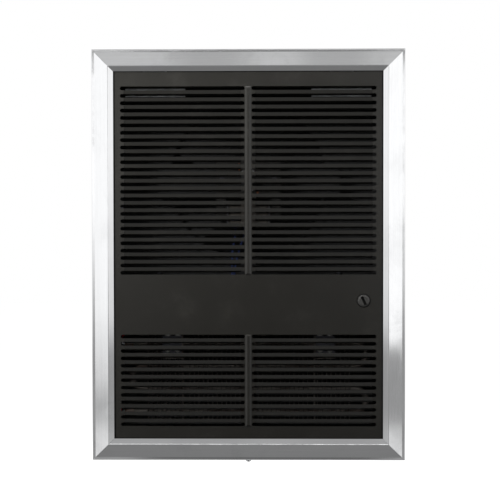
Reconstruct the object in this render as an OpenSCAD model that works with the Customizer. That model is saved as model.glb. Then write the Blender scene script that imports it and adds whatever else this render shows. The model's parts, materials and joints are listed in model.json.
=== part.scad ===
// Recessed wall fan heater: aluminium trim frame, louvred grille, steel wall box, fan and heating element.
// Units are millimetres. X runs right, Y runs into the wall and Z runs up.
// The origin is the centre of the trim frame on the finished surface of the wall.

/* [Trim frame] */
// Overall width of the trim frame
frame_w = 406.4; // [380:1:440]
// Overall height of the trim frame
frame_h = 533.4; // [515:1:560]
// Width of one frame rail as seen from the front
rail_w = 29; // [28:0.5:30.5]
// Wall of the extruded rail
rail_wall = 2; // [1.6:0.1:2.4]
// Height of the outer lip above the wall surface
lip_h = 6.2; // [5.6:0.1:7]
// Width of the flat outer lip
lip_w = 3.8; // [3.4:0.1:4.6]
// Radius of the rounded outer edge of the lip
lip_round = 1.4; // [0.8:0.1:2]
// Distance of the ridge from the outer edge
ridge_u = 22.4; // [21.5:0.1:23]
// Height of the ridge above the wall surface
ridge_h = 17; // [16:0.5:19]
// Distance of the rail's inner leg from the outer edge
leg_in = 18.8; // [18:0.1:19.5]
// Radius of the rounded ridge
ridge_round = 1.2; // [0.6:0.1:1.6]
// Height of the inner edge of the rail above the wall surface
inner_h = 11.5; // [11.5:0.1:13]
// Thickness of the inner edge of the rail
inner_edge = 1.9; // [1.5:0.1:2.2]
// Height of the face of the grille ledge above the wall surface
ledge_h = 4.8; // [4.6:0.1:5.4]
// Reach of the grille ledge towards the opening
ledge_reach = 6.2; // [6:0.1:7]
// Hairline gap along each mitred corner
mitre_gap = 0.1; // [0.05:0.05:0.3]
// Length of each arm of a corner key
key_arm = 46; // [35:1:60]
// Thickness of a corner key
key_t = 2.7; // [2.4:0.1:2.8]
// Diameter of the retaining screw under the bottom rail
retain_d = 3.5; // [3:0.1:3.6]

/* [Grille] */
// Sheet thickness of the grille
grille_t = 1.2; // [1:0.1:1.4]
// Height of the grille face above the wall surface
grille_face = 10.5; // [10:0.1:11]
// Gap beside the grille panel at the left and right
grille_side_gap = 1.8; // [1.2:0.1:2.2]
// Gap above and below the grille panel
grille_end_gap = 0.8; // [0.5:0.1:1]
// Distance from one louvre slot to the next
slot_pitch = 9.525; // [9.2:0.025:9.8]
// Height of a louvre slot
slot_h = 5; // [4:0.1:5.4]
// Least height from the top slot's centre to the top edge of the panel
top_margin = 20.8; // [15:0.1:21]
// Least height from the bottom slot's centre to the bottom edge of the panel
bottom_margin = 17.2; // [12:0.1:17.6]
// Height of the lowest upper slot's centre above the control channel
band_top = 7.7; // [5:0.1:8]
// Depth of the highest lower slot's centre below the control channel
band_bottom = 5; // [5:0.1:8]
// Width of the solid divider between the two columns of slots
divider_w = 9; // [8:1:20]
// Height of the rounded bead pressed along the divider
bead_rise = 1.5; // [0.8:0.1:2]
// Distance from the middle to the outer end of a slot
slot_reach = 165.5; // [150:0.1:167]
// Set-back of the lower edge of a louvre bar
bar_lean = 1.4; // [0.5:0.1:2]
// Depth of a louvre blade behind the sheet
blade_depth = 4; // [2.5:0.5:4.5]
// Fall of a louvre blade from front to back
blade_drop = 2.4; // [1.5:0.1:3]
// Open length left at each end of a slot
blade_relief = 5; // [3:0.5:8]
// Width of the outward flange behind the frame ledge
grille_flange = 8.8; // [8:0.1:9]
// Diameter of the screws that hold the grille to the frame
grille_screw_d = 3.4; // [3:0.1:3.6]

/* [Wall box] */
// Reach of the trim frame past the wall box on every side
frame_reach = 22.2; // [21.7:0.1:23.2]
// Depth of the back of the wall box behind the wall surface
box_depth = 98; // [94:1:125]
// Setback of the front edge of the wall box behind the wall surface
box_setback = 1; // [0.5:0.5:3]
// Sheet thickness of the wall box
box_t = 1.2; // [1:0.1:1.3]
// Diameter of a mounting hole in the side of the wall box
mount_hole_d = 5.5; // [4.5:0.1:7]
// Front to back distance between mounting holes
mount_pitch_y = 50; // [40:1:55]
// Vertical distance between mounting holes
mount_pitch_z = 380; // [300:5:420]
// Distance of the front mounting holes behind the wall surface
mount_front_y = 24; // [18:1:30]
// Diameter of a conduit knockout
knockout_d = 22.2; // [21:0.1:23]
// Diameter of the larger knockout round it
knockout_large_d = 28.6; // [27:0.1:29]
// Diameter of the cable passage through the clamp
cable_bore_d = 13; // [10:0.5:15]

/* [Inner sheet metal] */
// Sheet thickness of the inner panels
sheet_t = 1.2; // [0.8:0.1:1.4]
// Depth of the fan panel's front face behind the wall surface
fan_panel_y = 52; // [51:0.5:54]
// Depth of the control channel's front face behind the wall surface
channel_y = 2; // [1.5:0.5:3]
// Height of the control channel
channel_h = 70; // [68:1:74]
// Depth of the control channel's top below the middle of the frame
channel_top = 30; // [29:0.5:31]
// Thickness of the hanger brackets
hanger_t = 1.5; // [1.2:0.1:1.5]
// Width of a hanger bracket
hanger_w = 78; // [60:1:84]
// Height of a hanger bracket's leg
hanger_leg = 37.2; // [32:0.1:44]
// Depth of a hanger bracket's flange under the top of the wall box
hanger_flange = 20; // [14:1:26]
// Height of the air deflector's slope
deflector_h = 79; // [60:1:80]
// Height of the air deflector's back flange
deflector_flange = 16; // [10:1:20]
// Distance of a hanger bracket's centre from the middle
hanger_x = 121; // [110:1:125]

/* [Fan and motor] */
// Diameter of the fan
fan_d = 200; // [170:1:220]
// Gap between the fan's tips and the venturi ring
tip_gap = 4; // [3:0.5:7]
// Width of the venturi ring's flat flange
venturi_flange = 10; // [8:0.5:12]
// Gap between the venturi ring and the lip of the control channel
venturi_gap = 4; // [1:0.5:6]
// Number of fan blades
blade_count = 5; // [3:1:5]
// Tilt of the fan blades from the plane of the fan
blade_tilt = 20; // [12:1:21]
// Width of a fan blade at its tip
blade_w = 58; // [45:1:60]
// Thickness of the fan sheet
fan_t = 1.5; // [1:0.1:2]
// Diameter of the motor shaft
shaft_d = 6.35; // [5:0.05:8]
// Radial running clearance of the shaft in its bushes
shaft_clear = 0.04; // [0.02:0.01:0.1]
// Width of the motor's laminated core
core_w = 84; // [78:1:92]
// Height of the motor's laminated core
core_h = 76; // [75:0.5:80]
// Thickness of the motor's laminated core
core_t = 20; // [16:1:22]
// Diameter of the rotor
rotor_d = 29.4; // [26:0.1:31]
// Air gap between rotor and core
air_gap = 0.3; // [0.2:0.05:0.5]
// Outer diameter of a bearing bush
bush_d = 12; // [11:0.5:13]

/* [Heating element] */
// Outer diameter of the sheathed element tube
tube_d = 8.2; // [7:0.1:9]
// Vertical distance between passes of the element
pass_pitch = 30; // [29:0.5:30.5]
// Room between the end of a straight pass and the wall of the box
pass_inset = 39.8; // [38:0.1:50]
// Depth of the first pass below the control channel
first_pass = 18; // [16:0.5:20]
// Least height from the last pass to the floor of the wall box
pass_floor = 30; // [20:1:34]
// Distance between fins
fin_pitch = 6; // [5:0.5:10]
// Thickness of a fin
fin_t = 0.8; // [0.5:0.1:1]
// Depth of a fin from front to back
fin_depth = 28; // [24:1:30]
// Margin of a fin above and below the outer passes
fin_margin = 11; // [8:0.5:11.5]
// Clearance between tube and fin
fin_clear = 0.15; // [0.1:0.05:0.2]

/* [Controls] */
// Distance of the thermostat knob from the right edge of the grille panel
knob_inset = 23.2; // [22:0.1:27]
// Depth of the thermostat knob below the top of the control channel
knob_drop = 28.7; // [28:0.1:32]
// Diameter of the thermostat knob
knob_d = 17; // [14:0.1:18]
// Clearance of the knob in the grille
knob_clear = 0.5; // [0.3:0.1:0.8]
// Height of the knob's crown in front of the grille
knob_proud = 1.2; // [0.2:0.1:1.5]
// Angle of the knob's slot from vertical
knob_angle = 25; // [0:1:60]
// Width of the screwdriver slot in the knob
knob_slot_w = 3.4; // [2:0.1:4]
// Width and height of the thermostat body
stat_w = 44; // [36:1:46]
// Depth of the thermostat body
stat_d = 28; // [22:1:28]
// Diameter of the reset button
button_d = 4; // [3:0.1:5]
// Travel of the reset button
button_travel = 1.5; // [1:0.1:2]
// Throw of the switch toggle from on to off, in degrees
toggle_throw = 24; // [16:1:30]
// Diameter of an internal lead
lead_d = 2.8; // [2:0.1:3]

/* [Hidden] */
$fn = 64;

seat = 0.1; // gap left between flat sheets that lie on each other
screw_clear = 0.1; // radial clearance of a screw in a tapped hole
over = 1; // how far a cutting solid runs past the face it cuts
head_ratio = 0.95; // radius of a pan head over the diameter of its screw
head_rise = 0.65; // height of a pan head over the diameter of its screw
dome_share = 0.55; // share of a pan head's height that is domed
half_w = frame_w / 2;
half_h = frame_h / 2;

// Shape helpers
module block(lo, hi) { translate(lo) cube(hi - lo); }
module rod_x(x0, x1, y, z, r) { translate([x0, y, z]) rotate([0, 90, 0]) cylinder(h = x1 - x0, r = r); }
module rod_y(x, y0, y1, z, r) { translate([x, y0, z]) rotate([-90, 0, 0]) cylinder(h = y1 - y0, r = r); }
module rod_z(x, y, z0, z1, r) { translate([x, y, z0]) cylinder(h = z1 - z0, r = r); }
// An outline in X and Z made into a sheet from depth y0 to depth y1
module sheet_y(y0, y1) { translate([0, y1, 0]) rotate([90, 0, 0]) linear_extrude(y1 - y0) children(); }
// An outline in Y and Z made into a strip from x0 to x1
module strip_x(x0, x1) { translate([x0, 0, 0]) rotate([90, 0, 90]) linear_extrude(x1 - x0) children(); }
// A shape turned about the line through (x, z) along Y, its own Z axis pointing into the wall
module spun_y(x, y, z) { translate([x, y, z]) rotate([-90, 0, 0]) rotate_extrude() children(); }
module both_sides() {
    children();
    mirror([1, 0, 0]) children();
}
// A pan head screw along Y: its head lies in front of y0 and its shank ends at y1
module screw_y(x, y0, y1, z, d) {
    head_r = head_ratio * d;
    head_h = head_rise * d;
    dome = dome_share * head_h;
    dome_r = (head_r * head_r + dome * dome) / (2 * dome);
    difference() {
        union() {
            intersection() {
                rod_y(x, y0 - head_h - over, y0, z, head_r);
                translate([x, y0 - head_h + dome_r, z]) sphere(dome_r);
            }
            rod_y(x, y0 - over / 2, y1, z, d / 2);
        }
        for (turn = [0, 90])
            translate([x, y0 - head_h, z]) rotate([0, turn, 0])
                cube([1.1 * head_r, 0.8 * head_h, 0.22 * d], center = true);
    }
}

// Straight line through two points, moved sideways by a distance, and where two such lines meet
function side_shift(a, b, d) = let (n = (b - a) / norm(b - a)) [n.y, -n.x] * d;
function cross_z(a, b) = a.x * b.y - a.y * b.x;
function meet(a, b, c, d) = let (r = b - a, s = d - c) a + r * cross_z(c - a, s) / cross_z(r, s);
function arc(centre, r, from, to, steps) =
    [for (i = [0 : steps]) let (a = from + (to - from) * i / steps) centre + r * [cos(a), sin(a)]];

// Rail section: u runs from the outer edge to the opening, v runs from the wall to the room
lip_end = [lip_w, lip_h];
ridge = [ridge_u, ridge_h];
inner_top = [rail_w, inner_h];
inner_foot = inner_top - [0, inner_edge];
bevel_in = side_shift(lip_end, ridge, rail_wall);
slope_in = side_shift(ridge, inner_top, rail_wall);
bevel_a = lip_end + bevel_in;
bevel_b = ridge + bevel_in;
slope_a = ridge + slope_in;
slope_b = inner_top + slope_in;
apex = meet(bevel_a, bevel_b, slope_a, slope_b);
leg_u0 = leg_in;
leg_u1 = leg_u0 + rail_wall;
leg_top0 = meet(bevel_a, bevel_b, [leg_u0, 0], [leg_u0, 1]);
leg_top1 = meet(bevel_a, bevel_b, [leg_u1, 0], [leg_u1, 1]);
slope_foot = meet(slope_a, slope_b, inner_foot, inner_foot + [1, 0]);
ceiling_v = lip_h - rail_wall;
ceiling_end = meet(bevel_a, bevel_b, [0, ceiling_v], [1, ceiling_v]);
ledge_t = 2;
ledge_u = leg_u1 + ledge_reach;
ledge_v = ledge_h - ledge_t;
rib = 2;
rib_t = 1.2;
bevel_angle = atan2(ridge.y - lip_end.y, ridge.x - lip_end.x);
slope_angle = atan2(inner_top.y - ridge.y, inner_top.x - ridge.x);
ridge_half = (bevel_angle - slope_angle) / 2;
ridge_mid = (bevel_angle + slope_angle) / 2 + 90;
ridge_centre = ridge - ridge_round / cos(ridge_half) * [cos(ridge_mid), sin(ridge_mid)];
rail_section = concat(
    [[0, 0]],
    arc([lip_round, lip_h - lip_round], lip_round, 180, 90, 4),
    [lip_end],
    arc(ridge_centre, ridge_round, bevel_angle + 90, slope_angle + 90, 6),
    [inner_top, inner_foot, slope_foot, apex, leg_top1],
    [[leg_u1, ledge_h], [ledge_u, ledge_h], [ledge_u, ledge_v], [leg_u1, ledge_v], [leg_u1, 0]],
    [[leg_u0 - rib, 0], [leg_u0 - rib, rib_t], [leg_u0, rib_t], [leg_u0, ceiling_v]],
    [[leg_u0 - rib, ceiling_v], [leg_u0 - rib, ceiling_v + rib_t], [leg_u0, ceiling_v + rib_t]],
    [leg_top0, ceiling_end, [rail_wall, ceiling_v], [rail_wall, rib_t]],
    [[rail_wall + rib, rib_t], [rail_wall + rib, 0]]
);

// Grille sizes that follow the frame opening
open_w = half_w - rail_w;
open_h = half_h - rail_w;
panel_w = open_w - grille_side_gap;
panel_h = open_h - grille_end_gap;
flange_w = panel_w + grille_flange;
flange_h = panel_h + grille_flange;
flange_back = ledge_v - seat - grille_t;
grille_head_r = head_ratio * grille_screw_d;
grille_screw_u = leg_u1 + grille_head_r + 0.4;
side_screw_z = [-170, 0, 170];
end_screw_x = [-60, 60];
grille_screw_hole = grille_screw_d / 2 + screw_clear;
channel_z1 = -channel_top;
channel_z0 = channel_z1 - channel_h;
upper_slot_z = channel_z1 + band_top;
lower_slot_z = channel_z0 - band_bottom;
upper_steps = floor((panel_h - top_margin - upper_slot_z) / slot_pitch);
lower_steps = floor((panel_h - bottom_margin + lower_slot_z) / slot_pitch);
slot_groups = [
    [for (i = [0 : upper_steps]) upper_slot_z + i * slot_pitch],
    [for (i = [lower_steps : -1 : 0]) lower_slot_z - i * slot_pitch]
];
slot_z = concat(slot_groups[0], slot_groups[1]);
blade_x0 = divider_w / 2 + blade_relief;
blade_x1 = slot_reach - blade_relief;
bar_h = slot_pitch - slot_h;
bead_w = divider_w - 1;
bead_r = (bead_w * bead_w / 4 + bead_rise * bead_rise) / (2 * bead_rise);
bead_run = 3;
slot_x0 = divider_w / 2;
slot_len = slot_reach - slot_x0;
knob_hole = knob_d / 2 + knob_clear;
knob_x = panel_w - knob_inset;
knob_z = channel_z1 - knob_drop;

// Hooks that carry the frame by its top ledge
hook_w = 28;
hook_top = half_h - ledge_u - seat;
hook_lip = 3.2;
hook_notch = hook_w + 3;

// Retaining screw under the bottom rail
retain_v = retain_d / 2 + 1.65;
retain_u = 8;
retain_lug = 2;
retain_edge = 0.9;
retain_bracket_w = 20;
retain_head_h = 2;
retain_head_r = 3.2;
retain_leg = flange_back - seat;

// Wall box
box_x = half_w - frame_reach;
box_z = half_h - frame_reach;
box_in_x = box_x - box_t;
box_in_z = box_z - box_t;
box_in_y = box_depth - box_t;
knockout_groove = 0.5;
knockout_groove_w = 1.2;
knockout_x = 110;
knockout_y = 72;
clamp_x = -knockout_x;
clamp_half = 15;
clamp_screw_x = 11;
clamp_screw_drop = 11;
clamp_bar_t = 2.5;
clamp_flange_t = 3;
clamp_bar_y = knockout_y + cable_bore_d / 2 + 0.2;

// Inner sheet metal
channel_x = box_in_x - 3.8;
channel_in_y = channel_y + sheet_t;
channel_lip = 10;
panel_lo = channel_z0 - channel_lip - 2;
panel_hi = box_in_z - 3.3;
panel_x = box_in_x - 1.8;
panel_back = fan_panel_y + sheet_t;
rail_y = panel_back + seat;
rail_leg = 14;
rail_depth = 16;
rail_end = 8;
top_flange = 10;
chassis_screw_d = 4;
chassis_screw_x = box_in_x - rail_leg / 2 - sheet_t;
channel_screw_x = [-120, 0, 120];
panel_screw_d = 3.5;
panel_screw_hole = panel_screw_d / 2 + screw_clear;
chassis_screw_hole = chassis_screw_d / 2 + screw_clear;

// Fan and motor, stacked along Y from the fan panel forwards
fan_r = fan_d / 2;
venturi_r = fan_r + tip_gap;
ring_r = venturi_r + venturi_flange;
fan_z = channel_z1 + channel_lip + venturi_gap + ring_r;
chassis_screw_z = [panel_lo + 42, fan_z - 38, panel_hi - 25];
strap_t = 2;
strap_w = 34;
strap_stand = 18;
strap_y1 = fan_panel_y - strap_stand + strap_t;
strap_y0 = strap_y1 - strap_t;
venturi_flare = 5;
venturi_lip = 12;
strap_reach = ring_r + 4.6;
strap_foot = 13;
foot_x = strap_reach + strap_t + strap_foot / 2;
grommet_t = 2;
plate_t = 3;
core_y1 = strap_y0 - grommet_t - plate_t;
core_y0 = core_y1 - core_t;
boss_len = 7;
bush_len = boss_len + plate_t - 1;
bush_r = bush_d / 2;
bush_seat = 0.05;
boss_r = bush_r + 3;
core_bore = rotor_d / 2 + air_gap;
core_top = 25;
core_leg = 14;
window_x = 30;
window_top = -24;
motor_screw_x = core_w / 2 - 8;
motor_screw_d = 4;
motor_screw_hole = motor_screw_d / 2 + screw_clear;
bobbin_x = 28;
bobbin_t = 1;
bobbin_gap = 0.2;
coil_wall = 7.6;
shade_x = 12;
shade_z = [13.5, 20.5];
shade_t = 2.4;
shaft_front = core_y0 - plate_t - boss_len - 1.5;
fan_y = fan_panel_y + 1;
hub_len = 12;
hub_r = 9;
shaft_back = fan_y + hub_len / 2 + 2;

// Heating element
pass_room = channel_z0 - first_pass - pass_floor + box_in_z;
pass_half = box_in_x - pass_inset;
pass_last = 2 * floor((pass_room / pass_pitch + 1) / 2) - 1;
pass_z = [for (i = [0 : pass_last]) channel_z0 - first_pass - i * pass_pitch];
element_y = 32;
tube_r = tube_d / 2;
fin_z1 = pass_z[0] + fin_margin;
fin_z0 = pass_z[pass_last] - fin_margin;
support_x = 86;
support_flange = 27;
support_y0 = element_y - fin_depth / 2 - 4;
support_y1 = element_y + fin_depth / 2 + 2;
support_gap = 5;
hanger_leg_y = support_y0 - seat - sheet_t;
hanger_screw_z = lower_slot_z - 2 * slot_pitch;
hanger_screw_x = [93.5, 106.5];
hanger_screw_d = 4;
hanger_screw_hole = hanger_screw_d / 2 + screw_clear;
inner_fins = floor((support_x - support_gap) / fin_pitch);
outer_fins = floor((pass_half - 2 - support_x - support_gap) / fin_pitch);
fin_x = concat(
    [for (i = [-inner_fins : inner_fins]) i * fin_pitch],
    [for (s = [-1, 1], i = [0 : outer_fins]) s * (support_x + support_gap + i * fin_pitch)]
);
ceramic_r = 6.5;
ceramic_len = 12;
stud_r = 2;
tab_half_w = 3.15;
tab_half_t = 0.4;
tab_len = 7;

// Controls on the channel's web
stem_r = 3.2;
knob_y0 = -grille_face - knob_proud;
knob_y1 = -3;
stat_y1 = channel_in_y + seat + stat_d;
switch_x = -45;
switch_z = channel_z1 - channel_h / 2;
switch_w = 30;
switch_h = 26;
switch_d = 26;
switch_bush_r = 5.8;
toggle_r = 2.2;
toggle_y = -1;
cutout_x = 60;
cutout_z = switch_z - 8;
disc_r = 8;
disc_h = 11;
button_y0 = channel_y - 2.5;
button_y1 = channel_in_y + 5;
stat_screw = 15;
ball_r = 3;
toggle_len = 7;
delay_x = 20;
delay_y = 30;
wire_way_x = -channel_x + 13;
wire_way_y = 26;
motor_way_x = -20;
motor_way_y = 20;
way_r = 5;
supply_way_x = -140;
supply_way_z = -80;
supply_way_r = 9;
earth_x = -panel_x + 28;
earth_z = -46;
earth_r = 2;

// One straight rail: its outer edge lies on Z = 0, its length runs along X, both ends mitred
module rail_bar(length) {
    intersection() {
        strip_x(-length / 2, length / 2)
            polygon([for (p = rail_section) [-p.y, p.x]]);
        sheet_y(-ridge_h - over, over)
            polygon([
                [-length / 2 + mitre_gap, 0],
                [length / 2 - mitre_gap, 0],
                [length / 2 - mitre_gap - rail_w - over, rail_w + over],
                [-length / 2 + mitre_gap + rail_w + over, rail_w + over]
            ]);
    }
}
module drilled_rail(length, holes) {
    difference() {
        rail_bar(length);
        for (s = holes)
            rod_y(s, -ledge_h - over, over, grille_screw_u, grille_screw_hole);
    }
}
module frame_top() {
    color("gainsboro")
        mirror([0, 0, 1]) translate([0, 0, -half_h]) drilled_rail(frame_w, end_screw_x);
}
module frame_bottom() {
    color("gainsboro") difference() {
        translate([0, 0, -half_h]) drilled_rail(frame_w, end_screw_x);
        rod_z(0, -retain_v, -half_h - over, -half_h + retain_u, retain_d / 2 + screw_clear);
        block([-retain_bracket_w / 2 - 2, -retain_leg - over / 2, -half_h + leg_u0 - rib - over],
              [retain_bracket_w / 2 + 2, over, -half_h + leg_u1 + over / 2]);
    }
}
module frame_left() {
    color("gainsboro")
        translate([-half_w, 0, 0]) rotate([0, 90, 0]) drilled_rail(frame_h, side_screw_z);
}
module frame_right() {
    color("gainsboro") mirror([1, 0, 0]) frame_left();
}
module corner_keys() {
    lo = rail_wall + 2 * seat;
    hi = leg_u0 - 2 * seat;
    v = (rib_t + ceiling_v) / 2;
    color("silver")
        for (sx = [0, 1], sz = [0, 1])
            mirror([sx, 0, 0]) mirror([0, 0, sz])
                sheet_y(-v - key_t / 2, -v + key_t / 2)
                    polygon([
                        [-half_w + lo, -half_h + lo],
                        [-half_w + lo + key_arm, -half_h + lo],
                        [-half_w + lo + key_arm, -half_h + hi],
                        [-half_w + hi, -half_h + hi],
                        [-half_w + hi, -half_h + lo + key_arm],
                        [-half_w + lo, -half_h + lo + key_arm]
                    ]);
}

module slot_outline(length, height) {
    translate([height / 2, -height / 2]) square([length - height, height]);
    for (x = [height / 2, length - height / 2])
        translate([x, 0]) circle(height / 2, $fn = 24);
}
// A bar leans back from the slot above to the slot below, and its blade falls on behind
module grille_louvre(z, rise, lean) {
    top = z + slot_h / 2;
    front = -grille_face;
    foot = front + lean;
    back = front + grille_t + blade_depth;
    root = 0.4;
    bite = 0.2;
    both_sides()
        strip_x(blade_x0 - bite, blade_x1 + bite)
            polygon([
                [front, top + rise], [foot, top], [back, top - blade_drop],
                [back, top - blade_drop + grille_t], [foot + grille_t, top + root],
                [front + grille_t, top + rise]
            ]);
}
module divider_bead(z0, z1) {
    face = -grille_face;
    crest = face - bead_rise - over;
    seat_y = face + grille_t / 2;
    intersection() {
        rod_z(0, face - bead_rise + bead_r, z0, z1, bead_r);
        strip_x(-bead_w, bead_w)
            polygon([
                [seat_y, z0], [face, z0], [crest, z0 + bead_run],
                [crest, z1 - bead_run], [face, z1], [seat_y, z1]
            ]);
    }
}
module grille() {
    color("#2a2927") {
        sheet_y(-grille_face, -grille_face + grille_t)
            difference() {
                square([2 * panel_w, 2 * panel_h], center = true);
                for (z = slot_z, s = [0, 1])
                    mirror([s, 0]) translate([slot_x0, z]) slot_outline(slot_len, slot_h);
                for (group = slot_groups, s = [0, 1])
                    mirror([s, 0]) translate([blade_x0, group[0]])
                        square([blade_x1 - blade_x0, group[len(group) - 1] - group[0]]);
                translate([knob_x, knob_z]) circle(knob_hole);
            }
        sheet_y(-grille_face, -flange_back)
            difference() {
                square([2 * panel_w, 2 * panel_h], center = true);
                square([2 * (panel_w - grille_t), 2 * (panel_h - grille_t)], center = true);
            }
        sheet_y(-flange_back - grille_t, -flange_back)
            difference() {
                square([2 * flange_w, 2 * flange_h], center = true);
                square([2 * (panel_w - grille_t), 2 * (panel_h - grille_t)], center = true);
                for (s = [-1, 1])
                    translate([s * hanger_x - hook_notch / 2, panel_h])
                        square([hook_notch, grille_flange + over]);
                for (x = end_screw_x, s = [-1, 1])
                    translate([x, s * (half_h - grille_screw_u)]) circle(grille_screw_hole);
                for (z = side_screw_z, s = [-1, 1])
                    translate([s * (half_w - grille_screw_u), z]) circle(grille_screw_hole);
            }
        for (group = slot_groups, z = group)
            grille_louvre(z, z == max(group) ? slot_h / 2 : bar_h, z == max(group) ? 0 : bar_lean);
        for (group = slot_groups)
            divider_bead(min(group) - slot_h / 2, max(group) + slot_h / 2);
    }
}
// The screws go in from behind, so each one is turned to face the room
module grille_screws() {
    color("silver") {
        for (x = end_screw_x, s = [-1, 1])
            translate([x, 0, s * (half_h - grille_screw_u)]) back_screw();
        for (z = side_screw_z, s = [-1, 1])
            translate([s * (half_w - grille_screw_u), 0, z]) back_screw();
    }
}
module back_screw() {
    mirror([0, 1, 0]) screw_y(0, flange_back, ledge_h, 0, grille_screw_d, $fn = 32);
}

module retaining_screw() {
    z0 = -half_h - retain_head_h;
    color("silver") difference() {
        union() {
            translate([0, -retain_v, z0]) rotate_extrude()
                polygon([[0, 0], [0.6 * retain_head_r, 0], [retain_head_r, 0.5 * retain_head_h],
                         [retain_head_r, retain_head_h], [0, retain_head_h]]);
            rod_z(0, -retain_v, -half_h - over / 2, -half_h + retain_u + retain_lug + over, retain_d / 2);
        }
        block([-retain_head_r, -retain_v - 0.4, z0 - over], [retain_head_r, -retain_v + 0.4, z0 + over]);
    }
}
// An angle from the bottom of the wall box to the retaining screw
module retaining_bracket() {
    w = retain_bracket_w / 2;
    lug_z = -half_h + retain_u;
    box_floor = -box_in_z;
    hole = retain_d / 2 + screw_clear;
    color("lightgray") difference() {
        strip_x(-w, w) polygon([
            [-retain_v - hole - retain_edge, lug_z],
            [0, lug_z],
            [0, box_floor + seat],
            [22, box_floor + seat],
            [22, box_floor + seat + hanger_t],
            [-retain_leg, box_floor + seat + hanger_t],
            [-retain_leg, lug_z + retain_lug],
            [-retain_v - hole - retain_edge, lug_z + retain_lug]
        ]);
        rod_z(0, -retain_v, lug_z - over, lug_z + retain_lug + over, hole);
    }
}
// Two angles under the top of the wall box, each with a hook for the frame's ledge
module hanger_brackets() {
    y0 = 4;
    top = box_in_z - seat;
    leg_foot = top - hanger_leg;
    hook_y0 = -ledge_h - seat - hanger_t;
    color("lightgray") both_sides() {
        strip_x(hanger_x - hanger_w / 2, hanger_x + hanger_w / 2)
            polygon([
                [y0, leg_foot], [y0 + hanger_t, leg_foot], [y0 + hanger_t, top - hanger_t],
                [y0 + hanger_flange, top - hanger_t], [y0 + hanger_flange, top], [y0, top]
            ]);
        strip_x(hanger_x - hook_w / 2, hanger_x + hook_w / 2)
            polygon([
                [y0 + hanger_t, hook_top - hanger_t], [y0 + hanger_t, hook_top],
                [-ledge_h - seat, hook_top], [-ledge_h - seat, hook_top + hook_lip],
                [hook_y0, hook_top + hook_lip], [hook_y0, hook_top - hanger_t]
            ]);
    }
}

// Two rings pressed into the sheet, so that a hole of either size can be knocked out
module knockout_rings() {
    for (d = [knockout_d, knockout_large_d])
        difference() {
            cylinder(h = 2 * knockout_groove, r = (d + knockout_groove_w) / 2, center = true);
            cylinder(h = 4 * knockout_groove, r = (d - knockout_groove_w) / 2, center = true);
        }
}
module wall_box() {
    r = knockout_d / 2;
    color("silver") difference() {
        block([-box_x, box_setback, -box_z], [box_x, box_depth, box_z]);
        block([-box_in_x, box_setback - over, -box_in_z], [box_in_x, box_in_y, box_in_z]);
        for (y = [mount_front_y, mount_front_y + mount_pitch_y], z = [-1, 1] * mount_pitch_z / 2)
            rod_x(-box_x - over, box_x + over, y, z, mount_hole_d / 2);
        rod_z(clamp_x, knockout_y, -box_z - over, -box_in_z + over, r);
        translate([knockout_x, knockout_y, -box_z]) knockout_rings();
        for (x = [-knockout_x, knockout_x])
            translate([x, knockout_y, box_z]) knockout_rings();
        for (x = [-knockout_x, knockout_x])
            translate([x, box_depth, -60]) rotate([90, 0, 0]) knockout_rings();
    }
}
// Screw connector in the open knockout: threaded body, locknut inside, clamping bar outside
module cable_clamp() {
    bore = cable_bore_d / 2;
    channel_r = bore + 0.4;
    neck = knockout_d / 2 - 0.3;
    z_face = -box_z - seat;
    z_end = z_face - 18;
    color("silver") difference() {
        union() {
            rod_z(clamp_x, knockout_y, z_face - clamp_flange_t, z_face, clamp_half);
            rod_z(clamp_x, knockout_y, z_face - over, -box_in_z + 8, neck);
            block([clamp_x - clamp_half, knockout_y - 9, z_end],
                  [clamp_x + clamp_half, knockout_y + 1, z_face - over]);
        }
        rod_z(clamp_x, knockout_y, z_end - over, -box_in_z + 8 + over, bore);
        rod_z(clamp_x, knockout_y, z_end - over, z_face - clamp_flange_t, channel_r);
        block([clamp_x - channel_r, knockout_y, z_end - over],
              [clamp_x + channel_r, knockout_y + 10, z_face - clamp_flange_t]);
        for (s = [-1, 1])
            rod_y(clamp_x + s * clamp_screw_x, knockout_y - 10, knockout_y + 2,
                  z_face - clamp_screw_drop, panel_screw_hole);
    }
}
module clamp_locknut() {
    height = 3;
    color("silver") translate([clamp_x, knockout_y, -box_in_z + seat]) difference() {
        cylinder(h = height, r = clamp_half + 1, $fn = 8);
        translate([0, 0, -over]) cylinder(h = height + 2 * over, r = knockout_d / 2);
    }
}
module clamp_bar() {
    z = -box_z - seat - clamp_screw_drop;
    color("silver") difference() {
        block([clamp_x - clamp_half, clamp_bar_y, z - 5],
              [clamp_x + clamp_half, clamp_bar_y + clamp_bar_t, z + 5]);
        for (s = [-1, 1])
            rod_y(clamp_x + s * clamp_screw_x, clamp_bar_y - over, clamp_bar_y + clamp_bar_t + over,
                  z, panel_screw_hole);
    }
}
module clamp_screws() {
    z = -box_z - seat - clamp_screw_drop;
    color("silver") for (s = [-1, 1])
        translate([clamp_x + s * clamp_screw_x, clamp_bar_y + clamp_bar_t, z])
            mirror([0, 1, 0]) screw_y(0, 0, 16, 0, panel_screw_d, $fn = 32);
}
module side_rails() {
    color("silver") both_sides() difference() {
        rail_angle();
        for (z = chassis_screw_z)
            rod_y(chassis_screw_x, rail_y - over, rail_y + 3 * over, z, chassis_screw_hole);
    }
}
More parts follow.
